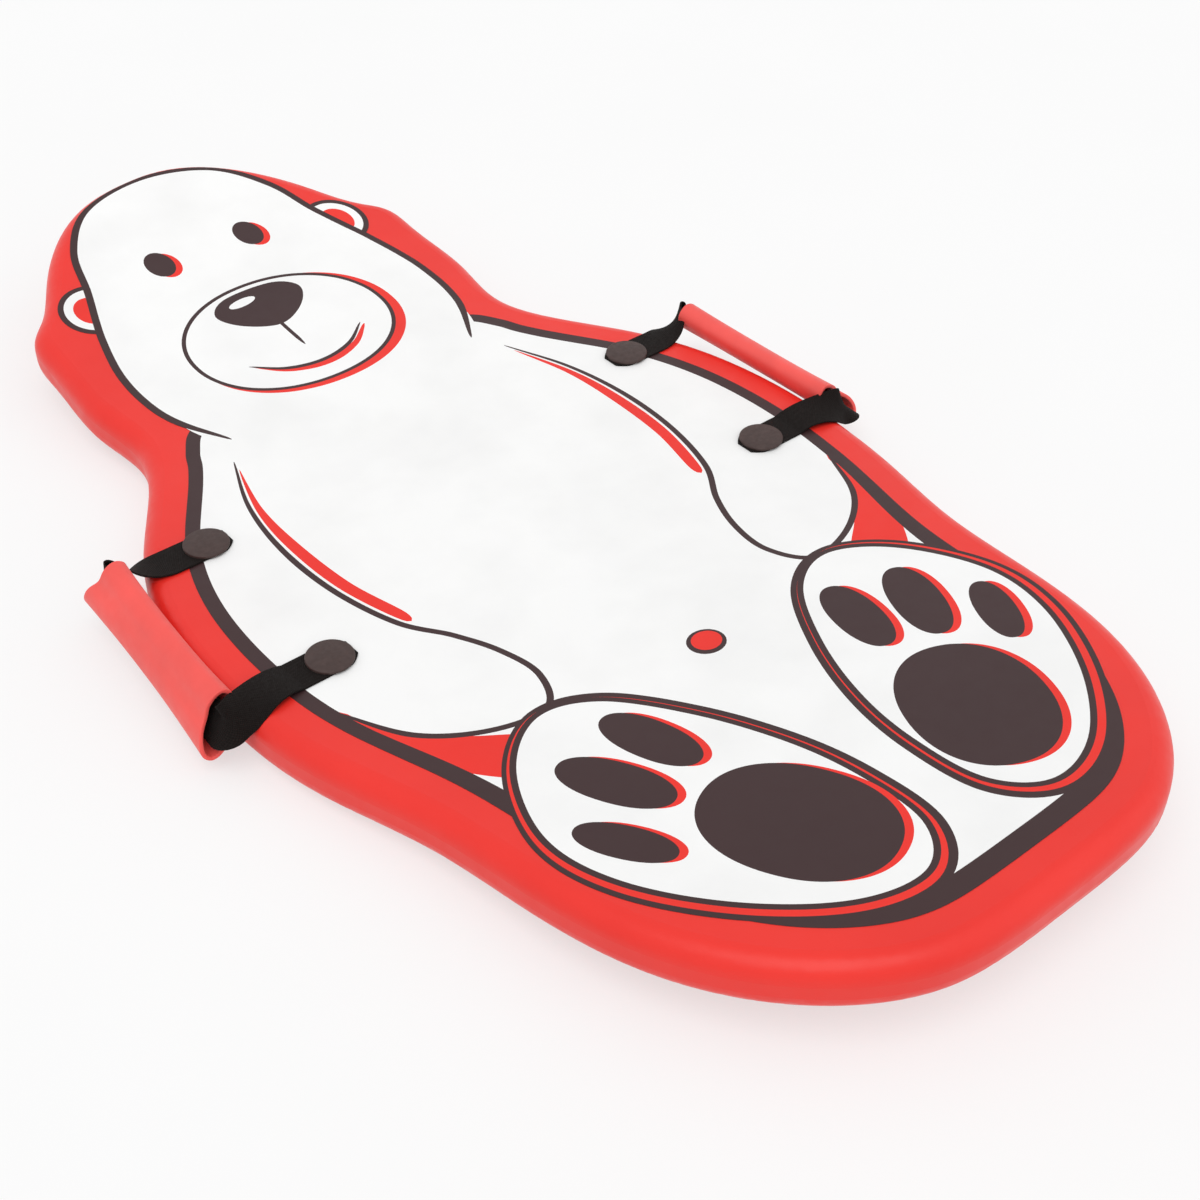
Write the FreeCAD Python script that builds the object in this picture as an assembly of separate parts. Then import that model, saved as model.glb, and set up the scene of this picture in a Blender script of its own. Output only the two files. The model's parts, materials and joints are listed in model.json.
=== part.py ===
"""Foam bodyboard with a printed deck, a slick bottom and two hinged webbing handles.

Millimetres.  +X is the rider's right, +Y points to the nose, +Z is up.  The origin is
under the middle of the board, on the plane that the flat part of the slick rests on.
"""
import FreeCAD, Part
import math
import os

from FreeCAD import Vector

# ---------------------------------------------------------------- board
BOARD_LENGTH = 1219.0
BOARD_WIDTH = 620.0
BOARD_THICKNESS = 44.0
RAIL_TOP_RADIUS = 16.0
RAIL_BOTTOM_RADIUS = 17.0

# Half outline from nose to tail, as shares of half the width and half the length.
HALF_OUTLINE = [
    (0.274, 0.962),
    (0.481, 0.853),
    (0.589, 0.771),
    (0.645, 0.738),
    (0.664, 0.669),
    (0.671, 0.533),
    (0.650, 0.420),
    (0.735, 0.318),
    (0.866, 0.212),
    (0.936, 0.131),
    (0.979, 0.045),
    (0.998, -0.040),
    (1.000, -0.120),
    (0.987, -0.203),
    (0.955, -0.290),
    (0.872, -0.448),
    (0.830, -0.599),
    (0.761, -0.753),
    (0.577, -0.906),
    (0.332, -0.987),
    (0.170, -0.999),
]

# Rocker: both ends of the board rise from a flat middle along a power curve.
NOSE_RISE = 67.0
NOSE_POWER = 2.23
TAIL_RISE = 44.0
TAIL_POWER = 1.42
ROCKER_STATIONS = 6

# ---------------------------------------------------------------- layers
DECK_SKIN = 3.0
SLICK_THICKNESS = 1.6
SLICK_MARGIN = 20.0
FILM_THICKNESS = 0.4
FILM_MARGIN = 30.0

# ---------------------------------------------------------------- strap anchors
ANCHOR_INSET = 83.5
ANCHOR_FRONT_Y = 95.0
ANCHOR_REAR_Y = -87.0
ANCHOR_FLAT_MARGIN = 3.7
TOP_DISC_RADIUS = 19.3
TOP_DISC_THICKNESS = 3.4
TOP_DISC_CROWN = 1.0
TOP_DISC_EDGE = 1.2
BOSS_RADIUS = 6.0
BOSS_CLEARANCE = 0.25
BOTTOM_DISC_RADIUS = 18.0
BOTTOM_DISC_THICKNESS = 4.0
BOTTOM_DISC_CLEARANCE = 0.25
BOTTOM_DISC_RECESS = 0.4
SCREW_RADIUS = 2.5
SCREW_CLEARANCE = 0.05
SCREW_LENGTH = 26.0
SCREW_HEAD_RADIUS = 5.0
SCREW_HEAD_HEIGHT = 2.6
SCREW_SLOT_WIDTH = 1.2
SCREW_SLOT_DEPTH = 1.1
BOSS_BORE_RUN_OUT = 2.0

# ---------------------------------------------------------------- webbing
STRAP_WIDTH = 34.0
STRAP_THICKNESS = 2.0
STRAP_TAIL = 0.6
HINGE_OFFSET = 4.0
HINGE_GAP = 0.3
HINGE_TIP = 0.8
HINGE_TIP_THIN = 0.5
STRAP_FLAT_RUN = 10.0
STRAP_TURN_STEPS = 10

# ---------------------------------------------------------------- grip sleeves
GRIP_SHORTFALL = 4.0
GRIP_FORWARD = 5.0
GRIP_WALL = 3.5
GRIP_WAIST = 0.86
GRIP_SLIDE = 2.0
GRIP_END_CLEARANCE = 8.0

# How the ends of a sleeve lie on the rail: outboard of the widest rail, height above the
# deck, room beside the webbing inside, half thickness, and droop of the long axis in degrees.
GRIP_LIE = {
    "rear": {"outboard": 15.5, "height": -7.0, "room": 5.5, "half_depth": 13.0, "droop": 58.0},
    "front": {"outboard": 4.0, "height": 2.0, "room": 3.5, "half_depth": 13.0, "droop": 58.0},
}

# How the webbing turns into a sleeve: how far it keeps its way out from the disc and its
# way into the sleeve, how high each stretch bows, and how late it rolls (1 is even).
STRAP_TURNS = {
    "rear": {"out": 32.0, "out_bow": 15.0, "in": 36.0, "in_bow": 12.0, "late": 1.3},
    "front": {"out": 24.0, "out_bow": 0.0, "in": 28.0, "in_bow": 6.0, "late": 1.0},
}

SIDES = {"left": -1.0, "right": 1.0}
ENDS = {"front": 1.0, "rear": -1.0}

# ---------------------------------------------------------------- derived places
HALF_LENGTH = BOARD_LENGTH / 2.0
HALF_WIDTH = BOARD_WIDTH / 2.0
TALL = BOARD_THICKNESS + max(NOSE_RISE, TAIL_RISE) + 100.0
FILM_TOP = BOARD_THICKNESS + FILM_THICKNESS
STRAP_TOP = FILM_TOP + STRAP_THICKNESS
STRAP_MIDDLE = FILM_TOP + STRAP_THICKNESS / 2.0
ANCHOR_X = HALF_WIDTH - ANCHOR_INSET
ANCHOR_Y = {"front": ANCHOR_FRONT_Y, "rear": ANCHOR_REAR_Y}
FLAT_FRONT = ANCHOR_FRONT_Y + TOP_DISC_RADIUS + ANCHOR_FLAT_MARGIN
FLAT_REAR = ANCHOR_REAR_Y - TOP_DISC_RADIUS - ANCHOR_FLAT_MARGIN
GRIP_LENGTH = ANCHOR_FRONT_Y - ANCHOR_REAR_Y - GRIP_SHORTFALL
GRIP_CENTRE_Y = (ANCHOR_FRONT_Y + ANCHOR_REAR_Y) / 2.0 + GRIP_FORWARD
HINGE_X = ANCHOR_X + TOP_DISC_RADIUS + HINGE_OFFSET
BOTTOM_DISC_TOP = BOTTOM_DISC_RECESS + BOTTOM_DISC_THICKNESS
BOTTOM_POCKET_RADIUS = BOTTOM_DISC_RADIUS + BOTTOM_DISC_CLEARANCE
BOSS_HOLE_RADIUS = BOSS_RADIUS + BOSS_CLEARANCE
SCREW_HOLE_RADIUS = SCREW_RADIUS + SCREW_CLEARANCE


def rise(y):
    """Height of the rocker line above the flat at station y."""
    if y > FLAT_FRONT:
        share = (y - FLAT_FRONT) / (HALF_LENGTH - FLAT_FRONT)
        return NOSE_RISE * share ** NOSE_POWER
    if y < FLAT_REAR:
        share = (FLAT_REAR - y) / (HALF_LENGTH + FLAT_REAR)
        return TAIL_RISE * share ** TAIL_POWER
    return 0.0


def closed_spline(points):
    curve = Part.BSplineCurve()
    curve.interpolate(points, PeriodicFlag=True)
    return curve


def outline_face(inset):
    """Plan outline of the board as a flat face, drawn in by inset."""
    right = [Vector(HALF_WIDTH * x, HALF_LENGTH * y, 0) for x, y in HALF_OUTLINE]
    left = [Vector(-p.x, p.y, 0) for p in reversed(right)]
    nose = Vector(0, HALF_LENGTH, 0)
    tail = Vector(0, -HALF_LENGTH, 0)
    curve = closed_spline([nose] + right + [tail] + left)
    if inset > 0:
        inner = []
        for point in [nose] + right + [tail] + left:
            ahead = curve.tangent(curve.parameter(point))[0]
            inner.append(point + Vector(ahead.y, -ahead.x, 0) * inset)
        curve = closed_spline(inner)
    return Part.Face(Part.Wire(curve.toShape()))


def rocker_edges(height):
    """Rocker line at a height above the slick, from nose to tail, as three edges."""
    reach = HALF_LENGTH + 5.0
    flat = [Vector(0, FLAT_FRONT, height), Vector(0, FLAT_REAR, height)]
    nose_points = []
    tail_points = []
    for i in range(ROCKER_STATIONS + 1):
        share = i / ROCKER_STATIONS
        y = reach + (FLAT_FRONT - reach) * share
        nose_points.append(Vector(0, y, height + rise(y)))
        y = FLAT_REAR + (-reach - FLAT_REAR) * share
        tail_points.append(Vector(0, y, height + rise(y)))
    aft = Vector(0, -1, 0)
    nose_start = (nose_points[1] - nose_points[0]).normalize()
    tail_end = (tail_points[-1] - tail_points[-2]).normalize()
    nose = Part.BSplineCurve()
    nose.interpolate(nose_points, InitialTangent=nose_start, FinalTangent=aft)
    tail = Part.BSplineCurve()
    tail.interpolate(tail_points, InitialTangent=aft, FinalTangent=tail_end)
    return [nose.toShape(), Part.makeLine(flat[0], flat[1]), tail.toShape()]


def rocker_band(low, high):
    """Everything between two heights measured from the slick, as wide as the board."""
    lower = rocker_edges(low)
    upper = rocker_edges(high)
    nose_low, nose_high = [line[0].valueAt(line[0].FirstParameter) for line in (lower, upper)]
    tail_low, tail_high = [line[2].valueAt(line[2].LastParameter) for line in (lower, upper)]
    front = Part.makeLine(nose_low, nose_high)
    back = Part.makeLine(tail_low, tail_high)
    wire = Part.Wire(Part.__sortEdges__(lower + [back] + upper + [front]))
    face = Part.Face(wire)
    face.translate(Vector(-BOARD_WIDTH, 0, 0))
    return face.extrude(Vector(2.0 * BOARD_WIDTH, 0, 0))


def layer(inset, low, high):
    """A slab of the board between two heights, drawn in by inset."""
    prism = outline_face(inset).extrude(Vector(0, 0, TALL))
    return prism.common(rocker_band(low, high)).Solids[0]


def rail_edges(body, height):
    """The edges round the face that lies at a height above the slick."""
    edges = []
    for edge in body.Edges:
        start = edge.valueAt(edge.FirstParameter)
        end = edge.valueAt(edge.LastParameter)
        middle = edge.valueAt((edge.FirstParameter + edge.LastParameter) / 2.0)
        upright = (start - end).Length > 1e-3 and math.hypot(start.x - end.x, start.y - end.y) < 1e-3
        across = abs(start.y - end.y) < 1e-3 and abs(middle.x) < 1.0
        level = abs(middle.z - rise(middle.y) - height) < 0.5
        if level and not upright and not across:
            edges.append(edge)
    return edges


def slab(inset, low, high):
    """A layer of the board with its rail rounded, all surfaces drawn in by inset."""
    body = layer(inset, low, high)
    body = body.makeFillet(RAIL_TOP_RADIUS - inset, rail_edges(body, high))
    return body.makeFillet(RAIL_BOTTOM_RADIUS - inset, rail_edges(body, low))


def post(x, y, radius, low, high):
    """An upright cylinder."""
    return Part.makeCylinder(radius, high - low, Vector(x, y, low))


def anchor_places():
    """Name and plan position of the four strap anchors."""
    places = []
    for side, sign in SIDES.items():
        for end in ENDS:
            places.append((side + "_" + end, sign * ANCHOR_X, ANCHOR_Y[end]))
    return places


def drilled(body):
    """A board layer with the four boss holes and the four pockets of the bottom discs."""
    for _, x, y in anchor_places():
        body = body.cut(post(x, y, BOSS_HOLE_RADIUS, -1.0, FILM_TOP + 1.0))
        body = body.cut(post(x, y, BOTTOM_POCKET_RADIUS, -1.0, BOTTOM_DISC_TOP))
    return body.Solids[0]


# ---------------------------------------------------------------- the board
def make_board():
    """The foam core in its skins.  The deck skin is the space round the core, opened below."""
    outer = slab(0.0, 0.0, BOARD_THICKNESS)
    core = slab(DECK_SKIN, SLICK_THICKNESS, BOARD_THICKNESS - DECK_SKIN)
    slick = layer(SLICK_MARGIN, 0.0, SLICK_THICKNESS)
    skin = Part.makeSolid(Part.Compound([outer.Shells[0], core.Shells[0].reversed()]))
    skin = skin.cut(layer(SLICK_MARGIN, -1.0, SLICK_THICKNESS + 1.0))
    film = layer(FILM_MARGIN, BOARD_THICKNESS, FILM_TOP)
    return {
        "foam_core": drilled(core),
        "deck_skin": drilled(skin.Solids[0]),
        "slick_skin": drilled(slick),
        "deck_print_film": drilled(film),
    }


# ---------------------------------------------------------------- the anchors
def make_top_disc():
    """Crowned disc with a hollow boss that reaches down to the bottom disc."""
    low = STRAP_TOP
    rim = low + TOP_DISC_THICKNESS - TOP_DISC_CROWN
    crown = low + TOP_DISC_THICKNESS
    inner = TOP_DISC_RADIUS - TOP_DISC_EDGE
    corner = TOP_DISC_EDGE * (1.0 - math.sqrt(0.5))
    bore_top = BOTTOM_DISC_RECESS + SCREW_LENGTH + BOSS_BORE_RUN_OUT
    corners = [
        Vector(inner, 0, rim),
        Vector(TOP_DISC_RADIUS, 0, rim - TOP_DISC_EDGE),
        Vector(TOP_DISC_RADIUS, 0, low),
        Vector(BOSS_RADIUS, 0, low),
        Vector(BOSS_RADIUS, 0, BOTTOM_DISC_TOP),
        Vector(SCREW_HOLE_RADIUS, 0, BOTTOM_DISC_TOP),
        Vector(SCREW_HOLE_RADIUS, 0, bore_top),
        Vector(0, 0, bore_top),
        Vector(0, 0, crown),
    ]
    edge_middle = Vector(TOP_DISC_RADIUS - corner, 0, rim - corner)
    crown_middle = Vector(inner / 2.0, 0, rim + 0.75 * (crown - rim))
    edges = [Part.Arc(corners[0], edge_middle, corners[1]).toShape()]
    for start, end in zip(corners[1:-1], corners[2:]):
        edges.append(Part.makeLine(start, end))
    edges.append(Part.Arc(corners[-1], crown_middle, corners[0]).toShape())
    return Part.Face(Part.Wire(edges)).revolve(Vector(0, 0, 0), Vector(0, 0, 1), 360)


def make_bottom_disc():
    """Washer disc that clamps the boss from below, countersunk for its screw."""
    disc = post(0, 0, BOTTOM_DISC_RADIUS, BOTTOM_DISC_RECESS, BOTTOM_DISC_TOP)
    hole = post(0, 0, SCREW_HOLE_RADIUS, BOTTOM_DISC_RECESS - 1.0, BOTTOM_DISC_TOP + 1.0)
    sink = Part.makeCone(
        SCREW_HEAD_RADIUS + SCREW_CLEARANCE,
        SCREW_HOLE_RADIUS,
        SCREW_HEAD_HEIGHT,
        Vector(0, 0, BOTTOM_DISC_RECESS),
    )
    return disc.cut(hole).cut(sink)


def make_screw():
    """Countersunk slotted screw; its thread is left plain."""
    head = Part.makeCone(SCREW_HEAD_RADIUS, SCREW_RADIUS, SCREW_HEAD_HEIGHT, Vector(0, 0, BOTTOM_DISC_RECESS))
    shank = Part.makeCylinder(SCREW_RADIUS, SCREW_LENGTH, Vector(0, 0, BOTTOM_DISC_RECESS))
    slot = Part.makeBox(
        2.0 * SCREW_HEAD_RADIUS,
        SCREW_SLOT_WIDTH,
        SCREW_SLOT_DEPTH,
        Vector(-SCREW_HEAD_RADIUS, -SCREW_SLOT_WIDTH / 2.0, BOTTOM_DISC_RECESS),
    )
    return head.fuse(shank).removeSplitter().cut(slot)


def make_tab(end):
    """The clamped end of the webbing: flat under its disc, bevelled at the hinge line."""
    inner = ANCHOR_X - TOP_DISC_RADIUS - STRAP_TAIL
    outer = HINGE_X - STRAP_THICKNESS / 2.0 - HINGE_GAP
    bevel = STRAP_THICKNESS / 2.0
    start = ANCHOR_Y[end] - STRAP_WIDTH / 2.0
    profile = [
        Vector(inner, start, FILM_TOP),
        Vector(outer - bevel / 2.0, start, FILM_TOP),
        Vector(outer, start, STRAP_MIDDLE),
        Vector(outer - bevel, start, STRAP_TOP),
        Vector(inner, start, STRAP_TOP),
    ]
    tab = Part.Face(Part.makePolygon(profile + [profile[0]])).extrude(Vector(0, STRAP_WIDTH, 0))
    return tab.cut(post(ANCHOR_X, ANCHOR_Y[end], BOSS_HOLE_RADIUS, FILM_TOP - 1.0, STRAP_TOP + 1.0))


# ---------------------------------------------------------------- the grips
def grip_frame(end):
    """Centre and axes of one end section of a sleeve, on the right-hand side.

    The axes are the sleeve's own direction towards the nose and the long axis of its
    oval, pointing up and inboard.
    """
    centre = {}
    for name, sign in ENDS.items():
        x = HALF_WIDTH + GRIP_LIE[name]["outboard"]
        y = GRIP_CENTRE_Y + sign * GRIP_LENGTH / 2.0
        centre[name] = Vector(x, y, BOARD_THICKNESS + GRIP_LIE[name]["height"])
    along = (centre["front"] - centre["rear"]).normalize()
    droop = math.radians(GRIP_LIE[end]["droop"])
    flat = Vector(-math.cos(droop), 0, math.sin(droop))
    flat = (flat - along * flat.dot(along)).normalize()
    return centre[end], along, flat


def oval(centre, along, flat, half_width, half_depth):
    """An ellipse square to the sleeve's direction."""
    ring = Part.Wire(Part.Ellipse(Vector(0, 0, 0), half_width, half_depth).toShape())
    turn = FreeCAD.Rotation(flat, along.cross(flat), along, "ZXY")
    ring.Placement = FreeCAD.Placement(centre, turn)
    return ring


def grip_loft(wall, overrun):
    """The sleeve's outer form, or its bore when a wall is taken off."""
    rings = []
    rear, along, flat_rear = grip_frame("rear")
    front, _, flat_front = grip_frame("front")
    for share, pinch in ((0.0, 1.0), (0.5, GRIP_WAIST), (1.0, 1.0)):
        centre = rear + (front - rear) * share
        centre = centre + along * (overrun * (2.0 * share - 1.0))
        flat = (flat_rear * (1.0 - share) + flat_front * share).normalize()
        sizes = []
        for key, least in (("room", STRAP_WIDTH / 2.0 + GRIP_WALL), ("half_depth", 0.0)):
            sizes.append(least + GRIP_LIE["rear"][key] * (1.0 - share) + GRIP_LIE["front"][key] * share)
        rings.append(oval(centre, along, flat, sizes[0] * pinch - wall, sizes[1] * pinch - wall))
    return Part.makeLoft(rings, True, False)


def make_sleeve():
    return grip_loft(0.0, 0.0).cut(grip_loft(GRIP_WALL, 1.0)).Solids[0]


# ---------------------------------------------------------------- the strap loops
def strap_section(centre, across, normal, thickness=STRAP_THICKNESS):
    """Rectangle of webbing round a point of the strap's middle line."""
    w = across * (STRAP_WIDTH / 2.0)
    t = normal * (thickness / 2.0)
    points = [centre + w + t, centre - w + t, centre - w - t, centre + w - t]
    return Part.makePolygon(points + [points[0]])


def strap_turn(end):
    """One half of a handle's webbing, from its hinge line into the sleeve.

    The webbing rolls from flat on the deck to lying in the sleeve.  Each section is a
    middle point, the direction across the webbing and its normal.
    """
    sign = ENDS[end]
    turn = STRAP_TURNS[end]
    centre, along, flat = grip_frame(end)
    into = along * -sign
    outboard = Vector(1, 0, 0)
    sideways = Vector(0, -sign, 0)
    hinge = Vector(HINGE_X, ANCHOR_Y[end], STRAP_MIDDLE)
    start = hinge + outboard * STRAP_FLAT_RUN
    stop = centre - into * (GRIP_SLIDE + GRIP_END_CLEARANCE)
    way_out = start + Vector(turn["out"], 0, turn["out_bow"])
    way_in = stop - into * turn["in"] + Vector(0, 0, turn["in_bow"])
    sections = [(hinge, sideways, outboard.cross(sideways))]
    for i in range(STRAP_TURN_STEPS + 1):
        t = i / STRAP_TURN_STEPS
        u = 1.0 - t
        middle = start * u ** 3 + way_out * (3.0 * u * u * t) + way_in * (3.0 * u * t * t) + stop * t ** 3
        heading = (way_out - start) * (u * u) + (way_in - way_out) * (2.0 * u * t) + (stop - way_in) * (t * t)
        if i == 0:
            heading = outboard
        if i == STRAP_TURN_STEPS:
            heading = into
        heading = heading.normalize()
        roll = t ** turn["late"]
        roll = roll * roll * (3.0 - 2.0 * roll)
        across = sideways * (1.0 - roll) + flat * roll
        across = (across - heading * across.dot(heading)).normalize()
        sections.append((middle, across, heading.cross(across)))
    return sections


def make_loop():
    """One handle's webbing between its two hinge lines, with a tapered tip at each."""
    front = [(middle, across, normal * -1.0) for middle, across, normal in strap_turn("front")]
    run = strap_turn("rear") + front[::-1]
    wires = [strap_section(*section) for section in run]
    tip_back = Vector(-HINGE_TIP * STRAP_THICKNESS / 2.0, 0, 0)
    thin = STRAP_THICKNESS * HINGE_TIP_THIN
    for place, section in ((0, run[0]), (len(wires) + 1, run[-1])):
        middle, across, normal = section
        wires.insert(place, strap_section(middle + tip_back, across, normal, thin))
    return Part.makeLoft(wires, True, True)


def main():
    nodes = make_board()
    for name, x, y in anchor_places():
        for part_name, shape in (
            ("top_disc", make_top_disc()),
            ("bottom_disc", make_bottom_disc()),
            ("anchor_screw", make_screw()),
        ):
            shape.translate(Vector(x, y, 0))
            nodes[name + "_" + part_name] = shape
    for side, sign in SIDES.items():
        handed = {side + "_handle_webbing": make_loop(), side + "_grip_sleeve": make_sleeve()}
        for end in ENDS:
            handed[side + "_" + end + "_strap_tab"] = make_tab(end)
        for name, shape in handed.items():
            if sign < 0:
                shape = shape.mirror(Vector(0, 0, 0), Vector(1, 0, 0))
            nodes[name] = shape
    os.makedirs("parts", exist_ok=True)
    for name, shape in nodes.items():
        shape.exportStep("parts/" + name + ".step")
        print(name, len(shape.Solids), shape.isValid(), round(shape.Volume), shape.ShapeType)


main()
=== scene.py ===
"""Foam bodyboard: red skinned foam, a printed bear on the deck and two webbing handles."""
import json
import math

import bpy
import numpy as np
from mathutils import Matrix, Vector
from mathutils.bvhtree import BVHTree
from mathutils.geometry import delaunay_2d_cdt


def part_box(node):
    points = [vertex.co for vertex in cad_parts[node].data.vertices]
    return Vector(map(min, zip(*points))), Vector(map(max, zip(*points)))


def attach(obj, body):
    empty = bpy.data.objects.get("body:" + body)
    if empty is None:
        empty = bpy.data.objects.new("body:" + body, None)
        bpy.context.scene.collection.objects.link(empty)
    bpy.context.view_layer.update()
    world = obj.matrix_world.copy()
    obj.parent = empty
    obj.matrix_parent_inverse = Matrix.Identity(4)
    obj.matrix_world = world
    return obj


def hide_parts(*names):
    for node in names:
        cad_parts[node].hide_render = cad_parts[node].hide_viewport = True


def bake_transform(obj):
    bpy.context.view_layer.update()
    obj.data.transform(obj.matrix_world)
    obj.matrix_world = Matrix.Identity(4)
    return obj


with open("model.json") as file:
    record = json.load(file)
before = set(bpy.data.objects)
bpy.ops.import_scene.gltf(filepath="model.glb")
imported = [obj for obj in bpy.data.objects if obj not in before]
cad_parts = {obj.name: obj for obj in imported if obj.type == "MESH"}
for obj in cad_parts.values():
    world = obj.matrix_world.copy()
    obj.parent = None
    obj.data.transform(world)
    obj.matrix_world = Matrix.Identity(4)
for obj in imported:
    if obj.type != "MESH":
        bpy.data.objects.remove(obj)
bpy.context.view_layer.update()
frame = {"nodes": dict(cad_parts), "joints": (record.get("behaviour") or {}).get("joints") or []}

MM = 0.001
SIDES = {"left": -1.0, "right": 1.0}
ENDS = {"front": 1.0, "rear": -1.0}

# ------------------------------------------------------------------ colours, linear
RED = (0.85, 0.033, 0.023, 1.0)
RED_DEEP = (0.79, 0.027, 0.019, 1.0)
SLEEVE_RED = (0.92, 0.100, 0.086, 1.0)
PRINT_DARK = (0.045, 0.021, 0.022, 1.0)
PRINT_WHITE = (0.93, 0.93, 0.925, 1.0)
WEBBING = (0.0040, 0.0026, 0.0022, 1.0)
DISC_GREY = (0.050, 0.030, 0.027, 1.0)
STEEL = (0.60, 0.60, 0.62, 1.0)
FOAM_WHITE = (0.86, 0.86, 0.83, 1.0)


# ------------------------------------------------------------------ materials
class Shader:
    """A material round one Principled BSDF, with short ways to add and link nodes."""

    def __init__(self, name, colour, roughness, **sockets):
        self.material = bpy.data.materials.new(name)
        self.material.use_nodes = True
        self.tree = self.material.node_tree
        self.bsdf = self.tree.nodes["Principled BSDF"]
        self.bsdf.inputs["Base Color"].default_value = colour
        self.bsdf.inputs["Roughness"].default_value = roughness
        for socket, value in sockets.items():
            self.bsdf.inputs[socket.replace("_", " ")].default_value = value
        self.place = self.add("ShaderNodeTexCoord").outputs["Object"]
        self.last_bump = None

    def add(self, kind, **settings):
        node = self.tree.nodes.new(kind)
        for key, value in settings.items():
            setattr(node, key, value)
        return node

    def link(self, output, socket):
        self.tree.links.new(output, socket)

    def noise(self, scale, detail=3.0, stretch=None):
        node = self.add("ShaderNodeTexNoise")
        node.inputs["Scale"].default_value = scale
        node.inputs["Detail"].default_value = detail
        source = self.place
        if stretch:
            mapping = self.add("ShaderNodeMapping")
            mapping.inputs["Scale"].default_value = stretch
            self.link(source, mapping.inputs["Vector"])
            source = mapping.outputs["Vector"]
        self.link(source, node.inputs["Vector"])
        return node.outputs["Fac"]

    def spread(self, value, low, high, out_low, out_high):
        """Stretch the range from low to high over out_low to out_high."""
        node = self.add("ShaderNodeMapRange")
        node.inputs["From Min"].default_value = low
        node.inputs["From Max"].default_value = high
        node.inputs["To Min"].default_value = out_low
        node.inputs["To Max"].default_value = out_high
        self.link(value, node.inputs["Value"])
        return node.outputs["Result"]

    def mix(self, factor, first, second):
        node = self.add("ShaderNodeMix", data_type="RGBA")
        self.link(factor, node.inputs[0])
        node.inputs[6].default_value = first
        node.inputs[7].default_value = second
        return node.outputs[2]

    def math(self, operation, first, second=0.0):
        node = self.add("ShaderNodeMath", operation=operation)
        for socket, value in zip(node.inputs, (first, second)):
            if isinstance(value, float):
                socket.default_value = value
            else:
                self.link(value, socket)
        return node.outputs[0]

    def colour(self, output):
        self.link(output, self.bsdf.inputs["Base Color"])

    def roughness(self, output):
        self.link(output, self.bsdf.inputs["Roughness"])

    def bump(self, height, strength, distance):
        """Add a bump on top of the ones before it; distance is in metres."""
        node = self.add("ShaderNodeBump")
        node.inputs["Strength"].default_value = strength
        node.inputs["Distance"].default_value = distance
        self.link(height, node.inputs["Height"])
        if self.last_bump:
            self.link(self.last_bump, node.inputs["Normal"])
        self.last_bump = node.outputs["Normal"]
        self.link(self.last_bump, self.bsdf.inputs["Normal"])


def shade(colour, share):
    """The same colour, darker or lighter."""
    return tuple(c * share for c in colour[:3]) + (1.0,)


def skin_material(name, colour, deep, roughness):
    """Skinned closed-cell foam: soft mottling, faint pores and a satin gloss."""
    s = Shader(name, colour, roughness, Specular_IOR_Level=0.30, Coat_Weight=0.06, Coat_Roughness=0.35)
    s.colour(s.mix(s.spread(s.noise(7.0, 4.0), 0.35, 0.7, 0.0, 1.0), colour, deep))
    s.roughness(s.spread(s.noise(60.0, 4.0), 0.3, 0.7, roughness - 0.05, roughness + 0.07))
    s.bump(s.noise(1500.0, 2.0), 0.12, 0.0002)
    s.bump(s.noise(40.0, 3.0), 0.15, 0.0010)
    return s.material


def print_material(name, colour):
    """Ink under a clear satin film, finely embossed."""
    s = Shader(name, colour, 0.42, Specular_IOR_Level=0.22, Coat_Weight=0.05, Coat_Roughness=0.3)
    s.colour(s.mix(s.spread(s.noise(12.0, 4.0), 0.4, 0.75, 0.0, 1.0), colour, shade(colour, 0.94)))
    s.roughness(s.spread(s.noise(70.0, 3.0), 0.3, 0.7, 0.38, 0.48))
    s.bump(s.noise(1100.0, 2.0), 0.10, 0.0002)
    s.bump(s.noise(35.0, 3.0), 0.10, 0.0010)
    return s.material


RIB_PITCH = 0.0017
WALE_PITCH = 0.0026


def webbing_material():
    """Woven strap: a twill of fine ribs, read from the strap's own length and width, with painted light on
    the raised ribs and painted shade between them.
    """
    s = Shader("webbing", WEBBING, 0.85, Sheen_Weight=0.02, Sheen_Roughness=0.5, Specular_IOR_Level=0.12)
    split = s.add("ShaderNodeSeparateXYZ")
    s.link(s.add("ShaderNodeUVMap").outputs["UV"], split.inputs[0])
    rib = s.math("SINE", s.math("MULTIPLY", split.outputs[1], 2.0 * math.pi / RIB_PITCH))
    wale = s.math("SINE", s.math("MULTIPLY", split.outputs[0], 2.0 * math.pi / WALE_PITCH))
    weave = s.math("MULTIPLY", rib, wale)
    # Painted highlight and painted shade: the weave's raised ribs are painted up to 2.6 times lighter than
    # the hollows between them, following the bump's height.
    s.colour(s.mix(s.spread(weave, -1.0, 1.0, 0.0, 1.0), WEBBING, shade(WEBBING, 2.6)))
    s.roughness(s.spread(s.noise(400.0, 3.0), 0.3, 0.7, 0.68, 0.85))
    s.bump(weave, 0.7, 0.0004)
    s.bump(s.noise(1800.0, 2.0), 0.25, 0.0002)
    return s.material


def sleeve_material():
    """Soft skinned foam tube: paler than the board, duller and finely wrinkled."""
    s = Shader("sleeve_foam", SLEEVE_RED, 0.52, Specular_IOR_Level=0.4,
               Sheen_Weight=0.12, Sheen_Roughness=0.4)
    mottle = s.spread(s.noise(22.0, 4.0), 0.35, 0.7, 0.0, 1.0)
    s.colour(s.mix(mottle, SLEEVE_RED, shade(SLEEVE_RED, 0.9)))
    s.roughness(s.spread(s.noise(120.0, 3.0), 0.3, 0.7, 0.46, 0.6))
    s.bump(s.noise(1300.0, 2.0), 0.2, 0.0002)
    s.bump(s.noise(110.0, 3.0, stretch=(1.0, 0.2, 1.0)), 0.25, 0.0008)
    return s.material


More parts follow.
